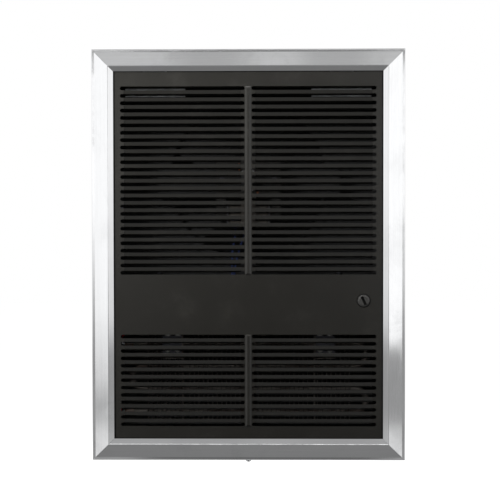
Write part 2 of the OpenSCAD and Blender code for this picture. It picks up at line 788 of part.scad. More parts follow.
// One angle on the side wall of the box, behind the fan panel
module rail_angle() {
    x1 = box_in_x - seat;
    z0 = panel_lo + rail_end;
    z1 = panel_hi - rail_end;
    block([x1 - rail_leg, rail_y, z0], [x1, rail_y + sheet_t, z1]);
    block([x1 - sheet_t, rail_y, z0], [x1, rail_y + rail_depth, z1]);
}
module fan_panel() {
    color("#262626") difference() {
        union() {
            block([-panel_x, fan_panel_y, panel_lo], [panel_x, panel_back, panel_hi]);
            block([-panel_x, fan_panel_y - top_flange, panel_hi - sheet_t], [panel_x, panel_back, panel_hi]);
        }
        rod_y(0, fan_panel_y - over, panel_back + over, fan_z, venturi_r + venturi_flare + seat);
        rod_y(supply_way_x, fan_panel_y - over, panel_back + over, supply_way_z, supply_way_r);
        for (s = [-1, 1], z = chassis_screw_z)
            rod_y(s * chassis_screw_x, fan_panel_y - over, panel_back + over, z, chassis_screw_hole);
        for (x = channel_screw_x, z = [channel_z1 + channel_lip / 2, channel_z0 - channel_lip / 2])
            rod_y(x, fan_panel_y - over, panel_back + over, z, panel_screw_hole);
        for (s = [-1, 1])
            rod_y(s * foot_x, fan_panel_y - over, panel_back + over, fan_z, chassis_screw_hole);
        rod_y(earth_x, fan_panel_y - over, panel_back + over, earth_z, earth_r + screw_clear);
    }
}
// Screws of one size hold the fan panel to the rails and the motor bracket to the fan panel
module chassis_screws() {
    color("#3c3c3e") {
        for (s = [-1, 1], z = chassis_screw_z)
            screw_y(s * chassis_screw_x, fan_panel_y, rail_y + sheet_t + 3, z, chassis_screw_d, $fn = 32);
        for (s = [-1, 1])
            screw_y(s * foot_x, fan_panel_y - seat - strap_t, panel_back + 3, fan_z,
                    chassis_screw_d, $fn = 32);
    }
}
module venturi_ring() {
    r = venturi_r;
    flare = venturi_flare;
    y_flange = -seat - sheet_t;
    color("#262626") spun_y(0, fan_panel_y, fan_z)
        polygon(concat(
            [[ring_r, y_flange + sheet_t], [ring_r, y_flange]],
            [for (a = [0 : 15 : 90]) [r + flare - flare * sin(a), y_flange + flare - flare * cos(a)]],
            [[r, venturi_lip], [r + sheet_t, venturi_lip], [r + sheet_t, y_flange + flare]],
            [for (a = [75 : -15 : 0])
                [r + flare - (flare - sheet_t) * sin(a), y_flange + flare - (flare - sheet_t) * cos(a)]]
        ));
}
module control_channel() {
    y1 = fan_panel_y - seat;
    t = sheet_t;
    z0 = channel_z0;
    z1 = channel_z1;
    color("#262626") difference() {
        strip_x(-channel_x, channel_x) polygon([
            [channel_y, z0], [channel_y, z1], [y1 - t, z1], [y1 - t, z1 + channel_lip],
            [y1, z1 + channel_lip], [y1, z1 - t], [channel_in_y, z1 - t], [channel_in_y, z0 + t],
            [y1, z0 + t], [y1, z0 - channel_lip], [y1 - t, z0 - channel_lip], [y1 - t, z0]
        ]);
        for (x = channel_screw_x, z = [z1 + channel_lip / 2, z0 - channel_lip / 2])
            rod_y(x, y1 - t - over, y1 + over, z, panel_screw_hole);
        rod_y(knob_x, channel_y - over, channel_in_y + over, knob_z, stem_r + 2);
        for (s = [-1, 1])
            rod_y(knob_x + s * stat_screw, channel_y - over, channel_in_y + over, knob_z + s * stat_screw,
                  panel_screw_hole);
        rod_y(switch_x, channel_y - over, channel_in_y + over, switch_z, switch_bush_r + screw_clear);
        rod_y(cutout_x, channel_y - over, channel_in_y + over, cutout_z, button_d / 2 + 0.4);
        rod_z(wire_way_x, wire_way_y, z0 - over, z0 + t + over, way_r);
        rod_z(motor_way_x, motor_way_y, z1 - t - over, z1 + over, way_r);
    }
}
// Screws of one size hold the channel to the fan panel and the thermostat to the channel
module panel_screws() {
    color("#3c3c3e") {
        for (x = channel_screw_x, z = [channel_z1 + channel_lip / 2, channel_z0 - channel_lip / 2])
            screw_y(x, fan_panel_y - seat - sheet_t, panel_back + 3, z, panel_screw_d, $fn = 32);
        for (s = [-1, 1])
            screw_y(knob_x + s * stat_screw, channel_y, channel_in_y + 6, knob_z + s * stat_screw,
                    panel_screw_d, $fn = 32);
    }
}
// Bent sheet in the lower back of the box that turns the air forwards
module air_deflector() {
    t = sheet_t;
    back = box_in_y - seat;
    floor_z = -box_in_z + seat;
    slope_z = floor_z + deflector_h;
    foot_y = fan_panel_y - 2;
    bend_y = foot_y + 12;
    color("#262626") strip_x(-80, channel_x) polygon([
        [back, slope_z + deflector_flange], [back - t, slope_z + deflector_flange], [back - t, slope_z],
        [bend_y, floor_z + t], [foot_y, floor_z + t], [foot_y, floor_z], [bend_y + 0.5 * t, floor_z],
        [back, slope_z - 0.5 * t]
    ]);
}

module motor_bracket() {
    y1 = fan_panel_y - seat;
    x1 = strap_reach + strap_t;
    color("#262626") difference() {
        translate([0, 0, fan_z - strap_w / 2]) linear_extrude(strap_w) polygon([
            [-x1 - strap_foot, y1], [-x1 - strap_foot, y1 - strap_t], [-x1, y1 - strap_t], [-x1, strap_y0],
            [x1, strap_y0], [x1, y1 - strap_t], [x1 + strap_foot, y1 - strap_t], [x1 + strap_foot, y1],
            [x1 - strap_t, y1], [x1 - strap_t, strap_y1], [-x1 + strap_t, strap_y1], [-x1 + strap_t, y1]
        ]);
        rod_y(0, strap_y0 - over, strap_y1 + over, fan_z, boss_r + 0.5);
        for (s = [-1, 1]) {
            rod_y(s * motor_screw_x, strap_y0 - over, strap_y1 + over, fan_z, motor_screw_hole);
            rod_y(s * foot_x, y1 - strap_t - over, y1 + over, fan_z, chassis_screw_hole);
        }
    }
}
module shade_slots(x, side, margin) {
    for (z = shade_z)
        translate([x, side * z]) square([shade_t + margin, shade_t + margin], center = true);
}
module stator_core() {
    z0 = core_top - core_h;
    color("dimgray") translate([0, 0, fan_z]) sheet_y(core_y0, core_y1) difference() {
        translate([-core_w / 2, z0]) square([core_w, core_h]);
        circle(core_bore);
        translate([-window_x, z0 + core_leg]) square([2 * window_x, window_top - z0 - core_leg]);
        for (s = [-1, 1])
            translate([s * motor_screw_x, 0]) circle(motor_screw_hole);
        shade_slots(-shade_x, 1, 0.4);
        shade_slots(shade_x, -1, 0.4);
    }
}
// Copper loops let into the poles on opposite corners
module shading_rings() {
    color("chocolate") for (s = [-1, 1]) translate([s * shade_x, 0, fan_z]) {
        lo = min(-s * shade_z) - shade_t / 2;
        hi = max(-s * shade_z) + shade_t / 2;
        for (z = -s * shade_z)
            block([-shade_t / 2, core_y0 - shade_t, z - shade_t / 2],
                  [shade_t / 2, core_y1 + shade_t, z + shade_t / 2]);
        for (y = [core_y0 - shade_t, core_y1 + seat])
            block([-shade_t / 2, y, lo], [shade_t / 2, y + shade_t - seat, hi]);
    }
}
leg_z = core_top - core_h + core_leg / 2;
// A rectangular sleeve round the core's lower leg, grown by a margin
module leg_sleeve(x0, x1, margin) {
    mid_y = (core_y0 + core_y1) / 2;
    block([x0, mid_y - core_t / 2 - margin, fan_z + leg_z - core_leg / 2 - margin],
          [x1, mid_y + core_t / 2 + margin, fan_z + leg_z + core_leg / 2 + margin]);
}
module coil_bobbin() {
    tube = bobbin_gap + bobbin_t;
    color("black") difference() {
        union() {
            leg_sleeve(-bobbin_x, bobbin_x, tube);
            for (s = [0, 1]) mirror([s, 0, 0])
                leg_sleeve(bobbin_x - 2, bobbin_x, tube + coil_wall + 0.4);
        }
        leg_sleeve(-bobbin_x - over, bobbin_x + over, bobbin_gap);
    }
}
// The winding lies under a wrap of tape, so it shows as one rounded block
module motor_coil() {
    tube = bobbin_gap + bobbin_t + seat;
    x = bobbin_x - 2 - seat;
    soft = 2;
    color("#2a2622") difference() {
        union() {
            leg_sleeve(-x, x, tube + coil_wall - soft);
            leg_sleeve(-x + soft, x - soft, tube + coil_wall - seat);
        }
        leg_sleeve(-x - over, x + over, tube);
    }
}
// A cast strip across the core with the boss that holds a bush; it faces the room
module bearing_plate() {
    bore = bush_r;
    difference() {
        union() {
            translate([-core_w / 2 + 9, -plate_t, -9]) cube([core_w - 18, plate_t, 18]);
            for (s = [-1, 1]) rod_y(s * motor_screw_x, -plate_t, 0, 0, 7);
            rod_y(0, -plate_t - boss_len, 0, 0, boss_r);
        }
        rod_y(0, -plate_t - boss_len + over, over, 0, bore);
        rod_y(0, -plate_t - boss_len - over, over, 0, shaft_d / 2 + 0.5);
        for (s = [-1, 1])
            rod_y(s * motor_screw_x, -plate_t - over, over, 0, motor_screw_hole);
    }
}
module front_bearing_bracket() {
    color("#262626") translate([0, core_y0, fan_z]) bearing_plate();
}
module rear_bearing_bracket() {
    color("#262626") translate([0, core_y1, fan_z]) mirror([0, 1, 0]) bearing_plate();
}
module bearing_bushes() {
    front = core_y0 - plate_t - boss_len + over;
    back = core_y1 + plate_t + boss_len - over;
    color("peru") for (y = [front + seat, back - seat - bush_len]) difference() {
        rod_y(0, y, y + bush_len, fan_z, bush_r - bush_seat);
        rod_y(0, y - over, y + bush_len + over, fan_z, shaft_d / 2 + shaft_clear);
    }
}
module motor_screws() {
    color("#3c3c3e") for (s = [-1, 1])
        screw_y(s * motor_screw_x, core_y0 - plate_t, strap_y1 + 2, fan_z, motor_screw_d, $fn = 32);
}
module motor_grommets() {
    color("black") for (s = [-1, 1]) difference() {
        rod_y(s * motor_screw_x, core_y1 + plate_t, strap_y0, fan_z, 6);
        rod_y(s * motor_screw_x, core_y1 + plate_t - over, strap_y0 + over, fan_z, motor_screw_hole);
    }
}
module rotor() {
    end = 1;
    color("silver") difference() {
        union() {
            rod_y(0, core_y0 + end, core_y1 - end, fan_z, rotor_d / 2 - 1);
            rod_y(0, core_y0 + end + 2, core_y1 - end - 2, fan_z, rotor_d / 2);
        }
        rod_y(0, core_y0 - over, core_y1 + over, fan_z, shaft_d / 2 + bush_seat);
    }
}
module motor_shaft() {
    chamfer = 0.6;
    r = shaft_d / 2;
    length = shaft_back - shaft_front;
    color("silver") spun_y(0, shaft_front, fan_z)
        polygon([
            [0, 0], [r - chamfer, 0], [r, chamfer],
            [r, length - chamfer], [r - chamfer, length], [0, length]
        ]);
}
module fan_blades() {
    root_r = 18;
    hub_disc = 32;
    color("#262626") translate([0, fan_y, fan_z]) rotate([-90, 0, 0]) difference() {
        union() {
            cylinder(h = fan_t, r = hub_disc, center = true);
            intersection() {
                cylinder(h = fan_d, r = fan_r, center = true);
                for (i = [0 : blade_count - 1])
                    rotate([0, 0, i * 360 / blade_count]) rotate([blade_tilt, 0, 0])
                        translate([0, 0, -fan_t / 2]) linear_extrude(fan_t)
                            polygon([
                                [root_r, -11], [45, -0.4 * blade_w], [fan_r + over, -blade_w / 2],
                                [fan_r + over, blade_w / 2], [45, 0.4 * blade_w], [root_r, 11]
                            ]);
            }
        }
        cylinder(h = fan_d, r = hub_r + bush_seat, center = true);
    }
}
module fan_hub() {
    y0 = fan_y - hub_len / 2;
    disc_back = fan_y + fan_t / 2 + seat;
    color("peru") difference() {
        union() {
            rod_y(0, y0, y0 + hub_len, fan_z, hub_r);
            rod_y(0, disc_back, disc_back + 2, fan_z, hub_r + 6);
        }
        rod_y(0, y0 - over, y0 + hub_len + over, fan_z, shaft_d / 2 + bush_seat);
        rod_z(0, y0 + 3, fan_z, fan_z + hub_r + over, 2 + screw_clear);
    }
}
module hub_screw() {
    y = fan_y - hub_len / 2 + 3;
    z0 = fan_z + shaft_d / 2 + seat;
    color("dimgray") difference() {
        rod_z(0, y, z0, fan_z + hub_r + 0.5, 2);
        translate([0, y, fan_z + hub_r - 1]) cylinder(h = 3, r = 1.1, $fn = 6);
    }
}

// Serpentine of four passes with its two ends on the left
module element_tube() {
    bend = pass_pitch / 2;
    stub = 12;
    color("dimgray") {
        for (i = [0 : pass_last]) {
            left = i == 0 || i == pass_last ? pass_half + stub : pass_half;
            rod_x(-left, pass_half, element_y, pass_z[i], tube_r);
        }
        for (i = [0 : pass_last - 1]) {
            side = i % 2 == 0 ? 1 : -1;
            translate([side * pass_half, element_y, pass_z[i] - bend]) rotate([90, 0, 0])
                rotate([0, 0, -side * 90])
                    rotate_extrude(angle = 180) translate([bend, 0]) circle(tube_r);
        }
    }
}
module tube_holes() {
    for (z = pass_z) translate([element_y, z]) circle(tube_r + fin_clear);
}
module element_fins() {
    color("#3a3836") for (x = fin_x)
        strip_x(x - fin_t / 2, x + fin_t / 2) difference() {
            translate([element_y - fin_depth / 2, fin_z0]) square([fin_depth, fin_z1 - fin_z0]);
            tube_holes();
        }
}
module element_supports() {
    top = channel_z0 - 4;
    color("#4a4644") both_sides() difference() {
        union() {
            strip_x(support_x, support_x + sheet_t) difference() {
                translate([support_y0, fin_z0]) square([support_y1 - support_y0, top - fin_z0]);
                tube_holes();
            }
            block([support_x, support_y0, hanger_screw_z - 12],
                  [support_x + support_flange, support_y0 + sheet_t, top]);
        }
        for (x = hanger_screw_x)
            rod_y(x, support_y0 - over, support_y0 + sheet_t + over, hanger_screw_z, hanger_screw_hole);
    }
}
module element_hangers() {
    z1 = channel_z0 - seat;
    color("#3c3c3e") both_sides() difference() {
        strip_x(support_x + 2, support_x + support_flange) polygon([
            [hanger_leg_y, z1], [hanger_leg_y, hanger_screw_z - 10],
            [hanger_leg_y + sheet_t, hanger_screw_z - 10], [hanger_leg_y + sheet_t, z1 - sheet_t],
            [support_y1 - 10, z1 - sheet_t], [support_y1 - 10, z1]
        ]);
        for (x = hanger_screw_x)
            rod_y(x, hanger_leg_y - over, hanger_leg_y + 2 * over, hanger_screw_z, hanger_screw_hole);
    }
}
module hanger_screws() {
    color("white") both_sides() for (x = hanger_screw_x)
        screw_y(x, hanger_leg_y, support_y0 + sheet_t + 1.8, hanger_screw_z, hanger_screw_d, $fn = 32);
}
terminal_x = -pass_half - 12;
module element_bushes() {
    color("saddlebrown") for (z = [pass_z[0], pass_z[pass_last]]) difference() {
        rod_x(terminal_x - ceramic_len, terminal_x - seat, element_y, z, ceramic_r);
        rod_x(terminal_x - ceramic_len - over, terminal_x + over, element_y, z, stud_r + screw_clear);
    }
}
module element_terminals() {
    x0 = terminal_x - ceramic_len - 9;
    color("silver") for (z = [pass_z[0], pass_z[pass_last]]) {
        rod_x(terminal_x - ceramic_len - 4, terminal_x - 2 * seat, element_y, z, stud_r);
        block([x0, element_y - tab_half_w, z - tab_half_t],
              [terminal_x - ceramic_len - 2, element_y + tab_half_w, z + tab_half_t]);
    }
}

module thermostat_body() {
    y0 = channel_in_y + seat;
    w = stat_w / 2;
    color("black") difference() {
        union() {
            block([knob_x - w, y0, knob_z - w], [knob_x + w, stat_y1, knob_z + w]);
            rod_y(knob_x, channel_y, y0 + over, knob_z, stem_r + 1.8);
            for (s = [-1, 1])
                block([knob_x + s * 10 - tab_half_w, stat_y1 - over, knob_z - tab_half_t],
                      [knob_x + s * 10 + tab_half_w, stat_y1 + tab_len, knob_z + tab_half_t]);
        }
        rod_y(knob_x, channel_y - over, y0 + 10, knob_z, stem_r + shaft_clear);
        for (s = [-1, 1])
            rod_y(knob_x + s * stat_screw, y0 - over, y0 + 8, knob_z + s * stat_screw, panel_screw_hole);
    }
}
module thermostat_stem() {
    color("silver") rod_y(knob_x, knob_y1 - 4, channel_in_y + 9, knob_z, stem_r);
}
module thermostat_knob() {
    r = knob_d / 2;
    slot_depth = 4;
    crown = 2.8;
    length = knob_y1 - knob_y0;
    color("#302e2c") translate([knob_x, knob_y0, knob_z]) rotate([0, -knob_angle, 0]) difference() {
        spun_y(0, 0, 0)
            polygon([
                [0, 0], [r - crown, 0], [r - 0.4 * crown, 0.22 * crown], [r, 0.8 * crown],
                [r, length], [0, length]
            ]);
        rod_y(0, length - 4 - seat, length + over, 0, stem_r + bush_seat);
        block([-knob_slot_w / 2, -over, -0.72 * r], [knob_slot_w / 2, slot_depth, 0.72 * r]);
    }
}
module power_switch() {
    y0 = channel_in_y + seat;
    color("dimgray") difference() {
        union() {
            block([switch_x - switch_w / 2, y0, switch_z - switch_h / 2],
                  [switch_x + switch_w / 2, y0 + switch_d, switch_z + switch_h / 2]);
            rod_y(switch_x, toggle_y - 1.5, y0 + over, switch_z, switch_bush_r);
            for (sx = [-1, 1], sz = [-1, 1])
                translate([switch_x + sx * 8, y0 + switch_d, switch_z + sz * 6])
                    block([-tab_half_w, -over, -tab_half_t], [tab_half_w, tab_len, tab_half_t]);
        }
        rod_y(switch_x, toggle_y - 3, toggle_y + ball_r + 0.5, switch_z, ball_r + 0.3);
    }
}
module switch_nut() {
    color("silver") translate([switch_x, channel_y - seat, switch_z]) rotate([90, 0, 0]) difference() {
        cylinder(h = 2.2, r = 8.5, $fn = 6);
        translate([0, 0, -over]) cylinder(h = 2.2 + 2 * over, r = switch_bush_r + screw_clear);
    }
}
// The toggle rests up, in the on position, and is thrown down
module switch_toggle() {
    color("white") translate([switch_x, toggle_y, switch_z]) rotate([-toggle_throw / 2, 0, 0]) {
        sphere(ball_r);
        rotate([90, 0, 0]) cylinder(h = toggle_len, r1 = 1.6, r2 = toggle_r);
    }
}
// Round snap disc switch: mounting face on Z = 0, tabs on top
module snap_disc() {
    cylinder(h = 1, r = disc_r + 1);
    cylinder(h = disc_h, r = disc_r);
    for (s = [-1, 1])
        translate([s * 4, 0, disc_h])
            block([-tab_half_t, -tab_half_w, -over], [tab_half_t, tab_half_w, tab_len]);
}
module thermal_cutout() {
    y0 = channel_in_y + seat;
    color("saddlebrown") difference() {
        translate([cutout_x, y0, cutout_z]) rotate([-90, 0, 0]) snap_disc();
        rod_y(cutout_x, y0 - over, button_y1 + button_travel + 0.5, cutout_z, button_d / 2 + 0.1);
    }
}
module reset_button() {
    r = button_d / 2;
    color("red") spun_y(cutout_x, button_y0, cutout_z)
        polygon([[0, 0], [r - 0.6, 0], [r, 0.6], [r, button_y1 - button_y0], [0, button_y1 - button_y0]]);
}
module fan_delay_switch() {
    color("saddlebrown") translate([delay_x, delay_y, channel_z0 + sheet_t + seat]) snap_disc();
}
module earth_screw() {
    head_h = 3;
    color("green") difference() {
        union() {
            translate([earth_x, fan_panel_y, earth_z]) rotate([90, 0, 0])
                cylinder(h = head_h, r = 5, $fn = 6);
            rod_y(earth_x, fan_panel_y - over, panel_back + 5, earth_z, earth_r);
        }
        block([earth_x - 4, fan_panel_y - head_h - over, earth_z - 0.5],
              [earth_x + 4, fan_panel_y - head_h + over, earth_z + 0.5]);
    }
}

// Rubber ring snapped into a hole in a sheet, its axis on Z and the sheet between 0 and sheet_t
module grommet_ring(hole_r) {
    bead = 1.6;
    rotate_extrude() polygon([
        [hole_r - 1.2, -bead], [hole_r + 1.6, -bead], [hole_r + 1.6, -seat], [hole_r - seat, -seat],
        [hole_r - seat, sheet_t + seat], [hole_r + 1.6, sheet_t + seat], [hole_r + 1.6, sheet_t + bead],
        [hole_r - 1.2, sheet_t + bead]
    ]);
}
module lead_grommets() {
    color("black") {
        translate([wire_way_x, wire_way_y, channel_z0]) grommet_ring(way_r);
        translate([motor_way_x, motor_way_y, channel_z1 - sheet_t]) grommet_ring(way_r);
        translate([supply_way_x, fan_panel_y, supply_way_z]) rotate([-90, 0, 0]) grommet_ring(supply_way_r);
    }
}

// A lead is swept along its points: a smooth line through them, then a ring at each step
function unit(v) = v / norm(v);
function spline(p, n) = [
    for (i = [0 : len(p) - 2], j = [0 : n - 1])
        let (a = p[max(i - 1, 0)], b = p[i], c = p[i + 1], d = p[min(i + 2, len(p) - 1)], t = j / n)
            0.5 * (2 * b + (c - a) * t + (2 * a - 5 * b + 4 * c - d) * t ^ 2
                + (3 * b - a - 3 * c + d) * t ^ 3),
    p[len(p) - 1]
];
function tangent(p, i) = unit(p[min(i + 1, len(p) - 1)] - p[max(i - 1, 0)]);
function across(n, t) = unit(n - (n * t) * t);
function normals(p) = [
    for (i = 0, n = across(abs(tangent(p, 0).z) > 0.8 ? [1, 0, 0] : [0, 0, 1], tangent(p, 0));
         i < len(p);
         n = across(n, tangent(p, min(i + 1, len(p) - 1))), i = i + 1) n
];
module lead(route) {
    sides = 8;
    path = spline(route, 3);
    n = normals(path);
    last = len(path) - 1;
    rings = [
        for (i = [0 : last], s = [0 : sides - 1])
            let (a = 360 * s / sides)
                path[i] + lead_d / 2 * (n[i] * cos(a) + cross(tangent(path, i), n[i]) * sin(a))
    ];
    faces = concat(
        [for (s = [1 : sides - 2]) [0, s, s + 1]],
        [for (s = [1 : sides - 2]) [last * sides, last * sides + s + 1, last * sides + s]],
        [for (i = [0 : last - 1], s = [0 : sides - 1])
            let (a = i * sides + s, b = i * sides + (s + 1) % sides) [a, a + sides, b]],
        [for (i = [0 : last - 1], s = [0 : sides - 1])
            let (a = i * sides + s, b = i * sides + (s + 1) % sides) [b, a + sides, b + sides]]
    );
    polyhedron(rings, faces);
}
supply_to_switch = [[-119, 38, -44], [-108, 38, -46], [-98, 38, -53], [-80, 41, -58], [-62, 44, -60],
    [-54, 42, -59], [-53, 36.6, -59]];
switch_to_stat = [
    [-37, 36.6, -59], [-36, 42, -58], [-20, 45, -52], [0, 46, -46], [40, 46, -43], [90, 46, -43],
    [126, 46, -50], [139, 44, -58], [139.5, 38.6, -60]
];
stat_to_cutout = [
    [159.5, 38.6, -60], [160, 43, -63], [160, 46, -76], [150, 46, -88], [120, 46, -93], [90, 42, -90],
    [70, 32, -80], [64, 27, -75], [64, 21.6, -73]
];
cutout_to_element = [
    [56, 21.6, -73], [56, 27, -75], [46, 38, -84], [20, 45, -90], [-20, 46, -90], [-80, 45, -91],
    [-130, 38, -92], [-150, 31, -92], [-158, 27, -93], [-161.5, 26.5, -97], [-161.5, 26.5, -103],
    [-164, 28, -108], [-169, 31, -111.5], [-170, 32, -117.3]
];
supply_to_switch_red = [[-119, 38, -62], [-108, 38, -64], [-90, 41, -71], [-66, 44, -74], [-54, 42, -72],
    [-53, 36.6, -71]];
switch_to_element = [
    [-37, 36.6, -71], [-37, 42, -72], [-42, 46, -78], [-60, 46, -82], [-110, 45, -83], [-146, 33, -84],
    [-159, 26.5, -88], [-164.5, 25.5, -94], [-164.5, 25.5, -104], [-169, 22.5, -112], [-174, 22.5, -126],
    [-175, 24, -160], [-174.5, 27, -185], [-171, 31, -198], [-170, 32, -207.3]
];
motor_to_delay = [
    [-6, 19, fan_z - 60.1], [-6, 19, fan_z - 72], [-13, 20, 4], [-18, 20.6, -20], [-18.4, 20.6, -32],
    [-14, 22, -42], [2, 27, -62], [14, 29.5, -72], [16, 30, -80.4]
];
motor_to_nut = [
    [-17, 19, fan_z - 60.1], [-17.5, 19, fan_z - 72], [-21, 19, 4], [-21.6, 19.4, -20], [-21.6, 19.4, -32],
    [-26, 23, -41], [-48, 34, -41], [-70, 37, -41], [-80, 37, -41]
];
delay_to_nut = [[24, 30, -80.4], [24, 31, -72], [10, 38, -56], [-14, 42, -42], [-44, 44, -45],
    [-70, 41, -46], [-80, 40, -45]];
earth_to_nut = [[-147, 47.5, -51], [-148, 46, -62], [-146, 42, -73], [-136, 38, -79], [-124, 37, -80],
    [-112, 38, -78]];
module leads_black() {
    color("#202020") {
        lead(supply_to_switch);
        lead(switch_to_stat);
        lead(stat_to_cutout);
        lead(cutout_to_element);
    }
}
module leads_red() {
    color("firebrick") {
        lead(supply_to_switch_red);
        lead(switch_to_element);
    }
}
module leads_blue() {
    color("midnightblue") {
        lead(motor_to_delay);
        lead(motor_to_nut);
        lead(delay_to_nut);
    }
}
module lead_green() {
    color("seagreen") lead(earth_to_nut);
}
// A wire nut with its mouth at x, lying along X
module wire_nut(x, y, z, side) {
    translate([x, y, z]) rotate([0, 90 * side, 0]) cylinder(h = 17, r1 = 6, r2 = 4);
}
module wire_nuts() {
    color("orange") {
        wire_nut(-119.3, 38, -44, -1);
        wire_nut(-119.3, 38, -62, -1);
        wire_nut(-80.3, 38, -43, -1);
        wire_nut(-111.7, 38, -78, 1);
    }
}

frame_top();
frame_bottom();
frame_left();
frame_right();
corner_keys();
grille();
grille_screws();
retaining_screw();
retaining_bracket();
hanger_brackets();
wall_box();
cable_clamp();
clamp_locknut();
clamp_bar();
clamp_screws();
side_rails();
fan_panel();
chassis_screws();
venturi_ring();
control_channel();
panel_screws();
air_deflector();
motor_bracket();
stator_core();
earth_screw();
shading_rings();
coil_bobbin();
motor_coil();
front_bearing_bracket();
rear_bearing_bracket();
bearing_bushes();
motor_screws();
motor_grommets();
rotor();
lead_green();
motor_shaft();
fan_blades();
fan_hub();
hub_screw();
element_tube();
element_fins();
element_supports();
element_hangers();
hanger_screws();
element_bushes();
element_terminals();
thermostat_body();
thermostat_stem();
thermostat_knob();
power_switch();
switch_nut();
switch_toggle();
thermal_cutout();
reset_button();
fan_delay_switch();
lead_grommets();
leads_black();
leads_red();
leads_blue();
wire_nuts();
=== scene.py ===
import json
import math

import bmesh
import bpy
from mathutils import Matrix, Quaternion, Vector


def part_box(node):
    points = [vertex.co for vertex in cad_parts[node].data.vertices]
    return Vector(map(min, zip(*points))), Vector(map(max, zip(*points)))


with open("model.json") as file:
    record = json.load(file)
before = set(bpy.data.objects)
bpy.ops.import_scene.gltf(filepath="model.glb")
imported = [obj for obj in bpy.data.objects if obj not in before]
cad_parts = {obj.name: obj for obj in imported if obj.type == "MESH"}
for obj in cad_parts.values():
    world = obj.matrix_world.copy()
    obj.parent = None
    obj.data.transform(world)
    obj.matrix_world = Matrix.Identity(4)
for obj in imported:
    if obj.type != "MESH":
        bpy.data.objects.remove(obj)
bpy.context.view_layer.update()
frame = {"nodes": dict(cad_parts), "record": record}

nodes = frame["nodes"]


# Materials: sums on wrapped sockets become Math nodes

class Value:
    def __init__(self, finish, socket):
        self.finish = finish
        self.socket = socket

    def __add__(self, other):
        return self.finish.calc("ADD", self, other)

    def __radd__(self, other):
        return self.finish.calc("ADD", other, self)

    def __sub__(self, other):
        return self.finish.calc("SUBTRACT", self, other)

    def __rsub__(self, other):
        return self.finish.calc("SUBTRACT", other, self)

    def __mul__(self, other):
        return self.finish.calc("MULTIPLY", self, other)

    def __rmul__(self, other):
        return self.finish.calc("MULTIPLY", other, self)

    def __truediv__(self, other):
        return self.finish.calc("DIVIDE", self, other)

    def __rtruediv__(self, other):
        return self.finish.calc("DIVIDE", other, self)


class Finish:
    # one material, or the world, with short ways to add its nodes
    def __init__(self, name, owner=None):
        self.owner = owner or bpy.data.materials.new(name)
        self.owner.use_nodes = True
        self.tree = self.owner.node_tree
        self.tree.nodes.clear()

    def add(self, kind, settings=None, sockets=None, out=0):
        # out is one output, or a tuple of them
        node = self.tree.nodes.new(kind)
        for key, setting in (settings or {}).items():
            if key == "stops":
                ramp = node.color_ramp
                while len(ramp.elements) < len(setting):
                    ramp.elements.new(0.5)
                for element, (position, level) in zip(ramp.elements, setting):
                    element.position = position
                    element.color = (level, level, level, 1)
            else:
                setattr(node, key, setting)
        for key, given in (sockets or {}).items():
            if isinstance(given, Value):
                self.tree.links.new(given.socket, node.inputs[key])
            else:
                node.inputs[key].default_value = given
        if isinstance(out, tuple):
            return [Value(self, node.outputs[key]) for key in out]
        return Value(self, node.outputs[out]) if node.outputs else node

    def calc(self, operation, first, second=0.0):
        return self.add("ShaderNodeMath", {"operation": operation}, {0: first, 1: second})

    def clamp(self, value):
        return self.add("ShaderNodeClamp", {}, {"Value": value})

    def blend(self, factor, first, second):
        # a written colour gets its fourth number
        ends = [(*end, 1) if isinstance(end, tuple) else end for end in (first, second)]
        return self.add("ShaderNodeMix", {"data_type": "RGBA"}, {0: factor, 6: ends[0], 7: ends[1]}, out=2)

    def tint(self, colour, factor):
        # a colour made lighter or darker by a value
        return self.add("ShaderNodeVectorMath", {"operation": "SCALE"}, {0: colour, "Scale": factor})

    def place(self):
        return self.add("ShaderNodeTexCoord", out="Object")

    def axes(self, vector):
        return self.add("ShaderNodeSeparateXYZ", {}, {"Vector": vector}, out=("X", "Y", "Z"))

    def stretched(self, vector, scale):
        return self.add("ShaderNodeMapping", {}, {"Vector": vector, "Scale": scale})

    def noise(self, vector, scale, detail=3.0, roughness=0.5, distortion=0.0, out=0):
        sockets = {"Vector": vector, "Scale": scale, "Detail": detail, "Roughness": roughness,
                   "Distortion": distortion}
        return self.add("ShaderNodeTexNoise", {}, sockets, out=out)

    def ramp(self, value, *stops):
        return self.add("ShaderNodeValToRGB", {"stops": stops}, {"Fac": value})

    def steps(self, value, start, full):
        # 0 up to start, 1 from full on, smooth between; full may be the lower one
        return self.add("ShaderNodeMapRange", {"interpolation_type": "SMOOTHSTEP"},
                        {"Value": value, "From Min": start, "From Max": full})

    def bump(self, height, strength, distance, normal=None):
        sockets = {"Height": height, "Strength": strength, "Distance": distance}
        if normal:
            sockets["Normal"] = normal
        return self.add("ShaderNodeBump", {}, sockets)

    def surface(self, colour, rough, normal, metallic=0.0, coat=0.0, shine=0.5):
        sockets = {"Base Color": colour, "Roughness": rough, "Normal": normal, "Metallic": metallic,
                   "Coat Weight": coat, "Specular IOR Level": shine}
        shader = self.add("ShaderNodeBsdfPrincipled", {}, sockets)
        self.add("ShaderNodeOutputMaterial", {}, {"Surface": shader})
        return self.owner


def linear(*shade):
    # a colour as an image editor gives it, 0 to 255, made linear
    return tuple(((c / 255 + 0.055) / 1.055) ** 2.4 if c > 10 else c / 255 / 12.92 for c in shade)


# Rails: bright dipped extrusion, its die lines run along the rail
trimLook = {"colour": (0.88, 0.885, 0.895), "gloss": 0.045, "dieLines": 0.03, "lineScale": 2600,
            "bandScale": 420, "wave": 0.03, "waveScale": 34, "smudge": 0.06, "smudgeScale": 16,
            "scuff": 0.05, "scuffScale": 900}


